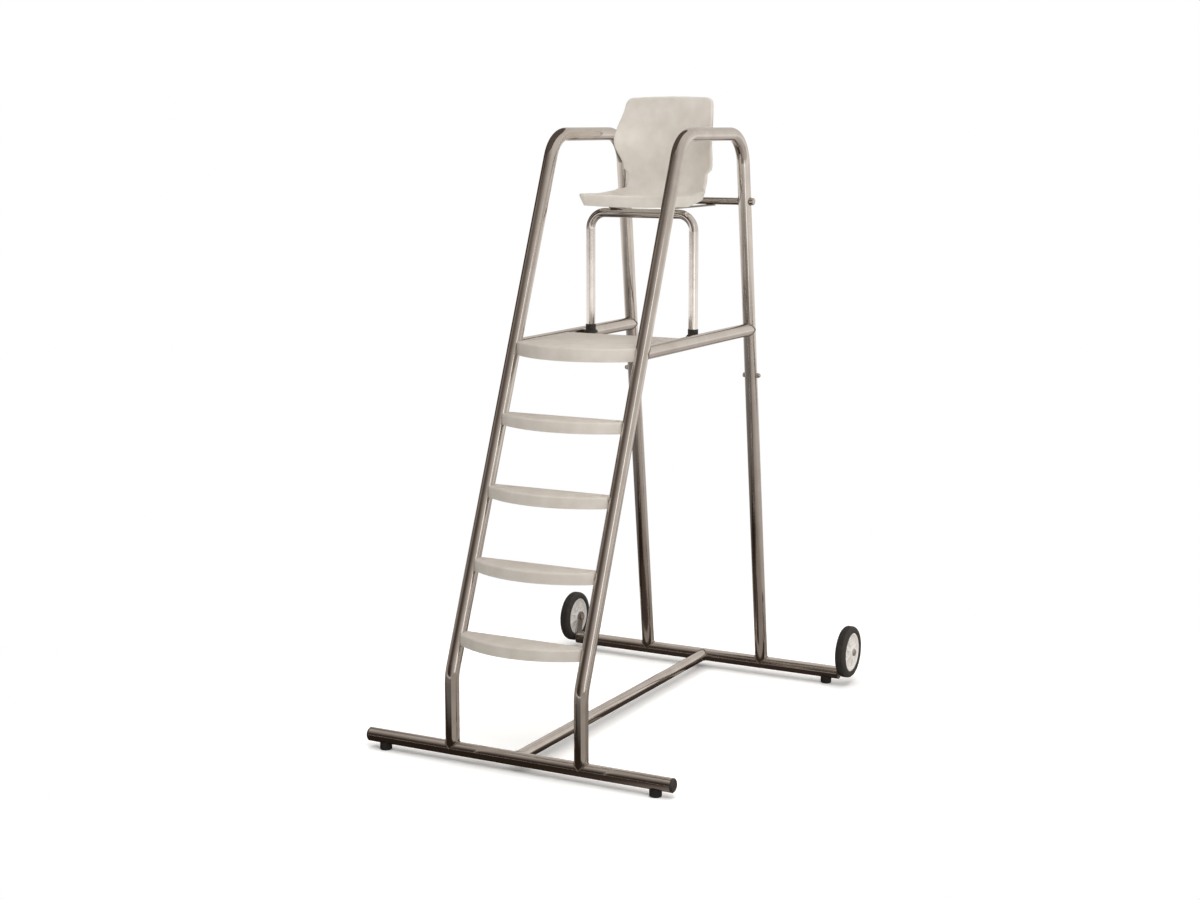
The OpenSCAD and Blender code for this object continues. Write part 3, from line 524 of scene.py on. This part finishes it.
class SeatShell:
    """The seat as a sheet over its middle line: s runs along the line and x across it."""

    def __init__(self):
        line = self.line = SeatLine()
        low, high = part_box("seat_shell")
        self.wing = line.up_back(WING_Z)
        self.front = low.y / MM + ROLL_R
        self.rim = high.z / MM - BACK_H
        waist_low = line.knots[4]
        waist_end = line.up_back(WAIST_TOP)
        self.widths = [(line.knots[1], PAN_W), (line.knots[3], PAN_REAR_W), (waist_low, WAIST_W),
                       (line.up_back(WAIST_TOP - WAIST_STEP), WAIST_W), (waist_end, WAIST_W + WAIST_STEP),
                       (self.wing, WING_W), (line.run, BACK_TOP_W)]
        # How far the sides stand up from the middle line, and the skirt's share of its full height.
        self.rises = [(0, 0.4 * DISH), (line.knots[1], DISH), (line.knots[3], 2.2 * DISH),
                      (waist_low, 0.25 * WING_F), (waist_end, 0.3 * WING_F), (self.wing, WING_F),
                      (line.run, 0.2 * WING_F)]
        self.skirts = [(line.knots[1], 1), (line.knots[3], 0.8), (waist_low, 0)]

    def width(self, s):
        return eased(s, self.widths) - ROLL_R - corner_in(s) - corner_in(self.line.run - s)

    def point(self, s, x, up=0):
        """A point of the upper face, or of a face offset by up towards the sitter, in metres."""
        crowned = max(0, (s - self.wing) / (self.line.run - self.wing)) ** 2
        s -= CROWN * (x / WING_W) ** 2 * crowned
        place, ahead = self.line.at(s), self.line.direction(s)
        lift = eased(s, self.rises) * (abs(x) / WING_W) ** 2.2 + up
        return Vector((x, self.front + place.x - ahead.y * lift, self.rim + place.y + ahead.x * lift)) * MM


def seat_shell(rows=110, columns=56, crowd=0.12):
    """The one-piece seat: a dished pan with a skirt, a waist and a winged backrest, its edge rolled over.
    Crowd draws the rows together at the front and the top."""
    shell = SeatShell()
    run = shell.line.run
    stations = [run * (i / rows - crowd * math.sin(math.tau * i / rows)) for i in range(rows + 1)]
    grid = [(s, shell.width(s) * (2 * j / columns - 1)) for s in stations for j in range(columns + 1)]
    across = columns + 1
    loop = ([j for j in range(columns)] + [i * across + columns for i in range(rows)]
            + [rows * across + j for j in range(columns, 0, -1)] + [i * across for i in range(rows, 0, -1)])
    count = len(loop)
    outward = []
    for k in range(count):
        before, after = Vector(grid[loop[k - 1]]), Vector(grid[loop[(k + 1) % count]])
        ahead = (after - before).normalized()
        outward.append(Vector((-ahead.y, ahead.x)))

    def ring(out_and_down):
        made = []
        for k, out in enumerate(outward):
            s, x = grid[loop[k]]
            distance, down = out_and_down(eased(s, shell.skirts))
            made.append(shell.point(s + out.x * distance, x + out.y * distance, -down))
        return made

    # The edge rolls over, runs down the skirt to its softened lower edge, and comes back up inside.
    rings = [ring(lambda deep, t=t: (ROLL_R * math.sin(t), ROLL_R * (1 - math.cos(t)))) for t in QUARTER[1:]]
    for inset, lift in ((0, 2), (0.6, 0.6), (2, 0), (SHELL_T - 2, 0), (SHELL_T - 0.6, 0.6), (SHELL_T, 2)):
        rings.append(ring(lambda deep, inset=inset, lift=lift: (
            ROLL_R - deep * SKIRT_IN - inset,
            ROLL_R + SHELL_T + deep * (SKIRT_H - ROLL_R - SHELL_T) - lift)))
    rings.append(ring(lambda deep: (ROLL_R - SHELL_T, ROLL_R + 1)))

    points = [shell.point(s, x) for s, x in grid] + [shell.point(s, x, -SHELL_T) for s, x in grid]
    faces = []
    for i in range(rows):
        for j in range(columns):
            a = i * across + j
            quad = (a, a + 1, a + across + 1, a + across)
            faces.append(quad)
            faces.append([len(grid) + q for q in reversed(quad)])
    chain = [loop]
    for made in rings:
        chain.append(range(len(points), len(points) + count))
        points += made
    chain.append([len(grid) + k for k in loop])
    for upper, lower in zip(chain, chain[1:]):
        for k in range(count):
            after = (k + 1) % count
            faces.append((upper[k], lower[k], lower[after], upper[after]))
    obj = piece("seat_shell_moulding", points, faces, FINISH["seat_plastic"], smooth=50)
    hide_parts("seat_shell")


# ---------------------------------------------------------------- wheels

# Sizes of the wheels in millimetres.
TYRE_SHOULDER = 13             # radius of a tyre's shoulders
GROOVE_W = 2.4                 # width of a groove round its tread
GROOVE_D = 2.2                 # and its depth
GROOVE_SLOPE = 0.4             # how much each side of the groove leans
BORE_R = 8.05                  # radius of the hub's bore, free on its axle
BOSS_R = 23
WEB_T = 8                      # thickness of the web between boss and rim
RIM_T = 8
RIM_W = 32
HUB_EDGE = 1.2                 # chamfer of the hub's edges
SPOKES = 8                     # ribs on each face of the web
SPOKE_IN = (21, 17)            # radius where a rib starts, and its height from the web's middle
SPOKE_OUT = (68, 12)           # and where it ends
SPOKE_FOOT = (2.2, 3.5)        # half width of its foot, and how high that lies from the web's middle
SPOKE_TOP = 1.5                # half width of its top


def lathe(points, faces, profile, centre, steps=96):
    """Turns a closed profile of (along the axle, radius) points, in millimetres, round the axle."""
    base = len(points)
    for i in range(steps):
        turn = math.tau * i / steps
        for along, radius in profile:
            across = Vector((0, math.cos(turn), math.sin(turn))) * radius * MM
            points.append(centre + Vector((along * MM, 0, 0)) + across)
    count = len(profile)
    for a in range(steps):
        for b in range(count):
            after, beyond = (b + 1) % count, (a + 1) % steps
            faces.append((base + a * count + b, base + a * count + after,
                          base + beyond * count + after, base + beyond * count + b))


def tyre_profile(width, outer, seat):
    """A tyre's closed section: round shoulders, and three grooves in a flat tread."""
    half = width / 2
    flat = half - TYRE_SHOULDER
    right = [(half - 1, seat), (half, seat + 1.5), (half, seat + 6)]
    for i in range(9):
        turn = math.radians(90 * i / 8)
        right.append((flat + TYRE_SHOULDER * math.cos(turn),
                      outer - TYRE_SHOULDER + TYRE_SHOULDER * math.sin(turn)))
    tread = []
    for groove_x in (flat, 0, -flat):
        right_x, left_x = groove_x + GROOVE_W / 2, groove_x - GROOVE_W / 2
        tread += [(right_x, outer), (right_x - GROOVE_SLOPE, outer - GROOVE_D),
                  (left_x + GROOVE_SLOPE, outer - GROOVE_D), (left_x, outer)]
    left = [(-x, r) for x, r in reversed(right)]
    return right[:-1] + tread + left[1:]


def hub_profile(length, rim_r):
    """A hub's closed section: boss, dished web and rim with softened edges."""
    edge, rim_in = HUB_EDGE, rim_r - RIM_T
    right = [(length / 2 - edge, BORE_R), (length / 2, BORE_R + edge), (length / 2, BOSS_R - edge),
             (length / 2 - edge, BOSS_R), (WEB_T / 2 + 3, BOSS_R + 1), (WEB_T / 2, BOSS_R + 5),
             (WEB_T / 2, rim_in - 4), (WEB_T / 2 + 3, rim_in - 0.6), (RIM_W / 2 - edge, rim_in),
             (RIM_W / 2, rim_in + edge), (RIM_W / 2, rim_r - edge), (RIM_W / 2 - edge, rim_r)]
    return right + [(-x, r) for x, r in reversed(right)]


def spokes(points, faces, centre):
    """Tapered ribs on both faces of a hub's web."""
    foot_w, foot_h = SPOKE_FOOT
    top_w = SPOKE_TOP
    for i in range(SPOKES):
        turn = math.tau * (i + 0.5) / SPOKES
        out = Vector((0, math.cos(turn), math.sin(turn)))
        aside = Vector((0, -math.sin(turn), math.cos(turn)))
        for sign in (-1, 1):
            base = len(points)
            for radius, top_h in (SPOKE_IN, SPOKE_OUT):
                for edge, height in ((-foot_w, foot_h), (-top_w, top_h), (top_w, top_h), (foot_w, foot_h)):
                    place = out * radius * MM + aside * edge * MM
                    points.append(centre + place + Vector((sign * height * MM, 0, 0)))
            for b in range(3):
                quad = [base + b, base + b + 1, base + b + 5, base + b + 4]
                faces.append(quad if sign > 0 else quad[::-1])


def wheels():
    for side in ("left", "right"):
        tyre_size, hub_size = span(side + "_tyre") / MM, span(side + "_wheel_hub") / MM
        centre, rim_r = middle(side + "_tyre"), hub_size.z / 2
        body = side + "_wheel"
        points, faces = [], []
        lathe(points, faces, tyre_profile(tyre_size.x, tyre_size.z / 2, rim_r), centre, steps=128)
        tyre = piece(side + "_tyre_rubber", points, faces, FINISH["tyre_rubber"], body,
                     smooth=35)
        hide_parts(side + "_tyre")
        points, faces = [], []
        lathe(points, faces, hub_profile(hub_size.x, rim_r), centre)
        spokes(points, faces, centre)
        hub = piece(side + "_hub_nylon", points, faces, FINISH["hub_plastic"], body,
                    smooth=35)
        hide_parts(side + "_wheel_hub")


# ---------------------------------------------------------------- studio

# What polished tube mirrors. The floor is dark close by on the left, paler to the right, and white far
# off. The room is dark at the front left, where a black cloth hangs, with pale walls elsewhere and a
# dark doorway high on the left. Boards and cards stand where a tube needs a darker or a paler streak.
FLOOR_NEAR = [(0.0, "271e19"), (0.28, "30271f"), (0.33, "443a34"), (0.39, "8c837b"), (0.7, "9c938b"),
              (1.0, "b4aca6")]
NEAR_WAY = (0.8, 0.6, 0)       # the way in which the near floor turns pale
NEAR_RANGE = (-1.6, 2.6)       # and where on that way its colours start and end
FLOOR_FAR = "f6f1ec"
FLOOR_FADE = [(0.12, "000000"), (0.16, "6a6a6a"), (0.5, "8a8a8a"), (1.0, "ffffff")]
FLOOR_REACH = 10               # distance at which the near floor has faded into the far one
FLOOR_SIZE = 60
PAPER = (1.22, 1.22, 1.22, 1)  # the floor to the camera, so bright that only deeper shadows show on it
PAPER_EDGE = (1.3, 2.0)        # distances between which it turns to plain white
FLOOR_MATT = "e6e7e4"          # the floor that throws soft light back on the object
ROOM = [(0.0, "e8e3de"), (0.12, "d3cdc7"), (0.5, "d3cdc7"), (0.78, "aca59f"), (0.92, "776e67"),
        (0.98, "423833"), (1.0, "382e29")]
CLOTH_WAY = (-0.47, -0.88, 0.08)
DOOR_WAY = (-0.85, 0.3, 0.43)
DOOR_EDGE = (0.83, 0.92)       # cosines of the angles from its middle between which the doorway darkens
DOOR_DARK = "3c322c"
CEILING = "f7f5f2"
CEILING_EDGE = (0.62, 0.74)    # sines of the heights between which the dim walls turn into the ceiling
CEILING_GLOW = (0.22, 1.65)    # how strongly the walls and the ceiling light the object
WHITE = "ffffff"
BOARD_DARK = "564c45"
CARD_PALE = "a8a098"


def flat(name, width, depth, material):
    """A level board for the studio, round the origin."""
    mesh = bpy.data.meshes.new(name)
    w, d = width / 2, depth / 2
    mesh.from_pydata([(-w, -d, 0), (w, -d, 0), (w, d, 0), (-w, d, 0)], [], [(0, 1, 2, 3)])
    mesh.materials.append(material)
    obj = bpy.data.objects.new(name, mesh)
    bpy.context.scene.collection.objects.link(obj)
    return obj


def aim(obj, place, way):
    """Sets a board, lamp or camera down at a place, facing a way."""
    obj.location = place
    obj.rotation_euler = Vector(way).to_track_quat("-Z", "Y").to_euler()


def floor():
    """A white floor that keeps the object's deeper shadows."""
    material = bpy.data.materials.new("studio_floor")
    tree = empty_tree(material)
    rays = add(tree, "LightPath")
    place = add(tree, "TexCoord").outputs["Object"]
    reach = add(tree, "VectorMath", {"operation": "LENGTH"}, {0: place}).outputs["Value"]
    aside = add(tree, "VectorMath", {"operation": "DOT_PRODUCT", 1: NEAR_WAY}, {0: place}).outputs["Value"]

    paper = add(tree, "BsdfDiffuse", {"Color": PAPER})
    white = add(tree, "Emission", {"Color": srgb(WHITE)})
    edge = add(tree, "MapRange", {"From Min": PAPER_EDGE[0], "From Max": PAPER_EDGE[1]}, {"Value": reach})
    seen = add(tree, "MixShader", links={0: edge, 1: paper, 2: white})

    across = add(tree, "MapRange", {"From Min": NEAR_RANGE[0], "From Max": NEAR_RANGE[1]}, {"Value": aside})
    near = add(tree, "Emission", links={0: add(tree, "ValToRGB", links={0: across}, stops=FLOOR_NEAR)})
    far = add(tree, "Emission", {"Color": srgb(FLOOR_FAR)})
    outward = add(tree, "MapRange", {"From Max": FLOOR_REACH}, {"Value": reach})
    fade = add(tree, "ValToRGB", links={0: outward}, stops=FLOOR_FADE)
    mirrored = add(tree, "MixShader", links={0: fade, 1: near, 2: far})

    matt = add(tree, "BsdfDiffuse", {"Color": srgb(FLOOR_MATT)})
    unseen = add(tree, "MixShader", links={0: rays.outputs["Is Glossy Ray"], 1: matt, 2: mirrored})
    final = add(tree, "MixShader", links={0: rays.outputs["Is Camera Ray"], 1: unseen, 2: seen})
    add(tree, "OutputMaterial", links={"Surface": final})
    flat("floor", FLOOR_SIZE, FLOOR_SIZE, material)


def world():
    """A wide soft ceiling light for the object, and the room that its polished tube mirrors."""
    bpy.context.scene.world = bpy.data.worlds.new("studio")
    tree = empty_tree(bpy.context.scene.world)
    rays = add(tree, "LightPath")
    place = add(tree, "TexCoord").outputs["Generated"]
    cloth, door = [add(tree, "VectorMath", {"operation": "DOT_PRODUCT", 1: way}, {0: place}).outputs["Value"]
                   for way in (CLOTH_WAY, DOOR_WAY)]

    shade = add(tree, "MapRange", {"From Min": -1, "From Max": 1}, {"Value": cloth})
    walls = add(tree, "Background", links={0: add(tree, "ValToRGB", links={0: shade}, stops=ROOM)})
    doorway = add(tree, "Background", {"Color": srgb(DOOR_DARK)})
    edge = add(tree, "MapRange", {"From Min": DOOR_EDGE[0], "From Max": DOOR_EDGE[1]}, {"Value": door})
    room = add(tree, "MixShader", links={0: edge, 1: walls, 2: doorway})

    height = add(tree, "SeparateXYZ", links={0: place}).outputs["Z"]
    rise = {"From Min": CEILING_EDGE[0], "From Max": CEILING_EDGE[1],
            "To Min": CEILING_GLOW[0], "To Max": CEILING_GLOW[1]}
    glow = add(tree, "MapRange", rise, {"Value": height})
    ceiling = add(tree, "Background", {"Color": srgb(CEILING)}, {"Strength": glow})
    white = add(tree, "Background", {"Color": srgb(WHITE)})
    unseen = add(tree, "MixShader", links={0: rays.outputs["Is Glossy Ray"], 1: ceiling, 2: room})
    final = add(tree, "MixShader", links={0: rays.outputs["Is Camera Ray"], 1: unseen, 2: white})
    add(tree, "OutputWorld", links={"Surface": final})


def boards():
    """Boards and cards that only mirrors see. The bend flag darkens the shoulders of the front bends, and the
    leg flag, far off on the right, draws a thin line down the front legs. The heel and bar flags lie dark on
    the floor under the feet of the rear legs and under the rear foot bar, a painted shade for these tubes to
    mirror. The pale cards brighten the right side of the front stubs."""
    arm_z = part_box("right_side_frame")[1].z - TUBE_R
    bends = Vector((0, front_leg_y(arm_z), arm_z))
    card_z, card_h = 0.185, 0.27
    left_stub = Vector((-LEG_X, FRONT_BAR.y, card_z))
    right_stub = Vector((LEG_X, FRONT_BAR.y, card_z))
    for name, place, way, width, height, colour in (
            ("bend_flag", bends + Vector((-0.40, 0.05, 0.68)), (0.40, -0.05, -0.68), 1.6, 1.4, BOARD_DARK),
            ("leg_flag", (5.64, 2.05, 0.15), (-5.64, -2.05, 0), 5.0, 0.3, BOARD_DARK),
            ("heel_flag", (-0.265, 0.155, 0.003), (0, 0, -1), 0.97, 0.61, "463c36"),
            ("bar_flag", (-0.01, 0.655, 0.003), (0, 0, -1), 1.22, 0.19, "382e29"),
            ("left_stub_card", left_stub + Vector((0.079, -0.064, 0)), (-0.853, 0.523, 0), 0.148, card_h,
             CARD_PALE),
            ("right_stub_card", right_stub + Vector((0.079, -0.064, 0)), (-0.886, 0.463, 0), 0.148, card_h,
             CARD_PALE),
            ("left_side_card", left_stub + Vector((0.075, 0.075, 0)), (-0.71, -0.71, 0), 0.11, card_h,
             CARD_PALE)):
        material = bpy.data.materials.new(name)
        tree = empty_tree(material)
        add(tree, "OutputMaterial", links={"Surface": add(tree, "Emission", {"Color": srgb(colour)})})
        obj = flat(name, width, height, material)
        aim(obj, place, way)
        obj.visible_camera = obj.visible_diffuse = obj.visible_shadow = False


def lights():
    """A key high on the front right, a low fill from the right, and a strip that draws a line of light on
    the tube. Places and targets are from the chair's middle."""
    centre = (cad_low + cad_high) / 2
    for name, place, target, width, height, watts, mirrored in (
            ("front_key", (1.3, -2.3, 1.35), (0, 0, 0.65), 1.4, 1.4, 34, False),
            ("right_fill", (3.6, 0.2, -0.4), (0, 0.2, -0.7), 2.0, 1.4, 30, False),
            ("strip", (3.3, -2.3, 0.9), (0, 0, 0.9), 0.45, 3.6, 6, True)):
        lamp = bpy.data.lights.new(name, "AREA")
        lamp.shape = "RECTANGLE"
        lamp.size, lamp.size_y = width, height
        lamp.energy = watts
        obj = bpy.data.objects.new(name, lamp)
        aim(obj, centre + Vector(place), Vector(target) - Vector(place))
        obj.visible_camera = False
        obj.visible_glossy = mirrored
        bpy.context.scene.collection.objects.link(obj)


def camera():
    """Turned to the right of the ladder and looking slightly down on the deck."""
    turn, tilt = math.radians(27.95), math.radians(9.42)
    way = (-math.sin(turn) * math.cos(tilt), math.cos(turn) * math.cos(tilt), -math.sin(tilt))
    data = bpy.data.cameras.new("camera")
    data.sensor_width = 36
    data.lens = 59.36
    data.clip_end = 100
    obj = bpy.data.objects.new("camera", data)
    aim(obj, (3.2464, -6.2996, 2.1584), way)
    bpy.context.scene.collection.objects.link(obj)
    bpy.context.scene.camera = obj


camera()
dress_cad_nodes()
weld_beads()
treads_and_deck()
seat_shell()
wheels()
floor()
world()
boards()
lights()

bpy.context.scene.view_settings.view_transform = "Standard"
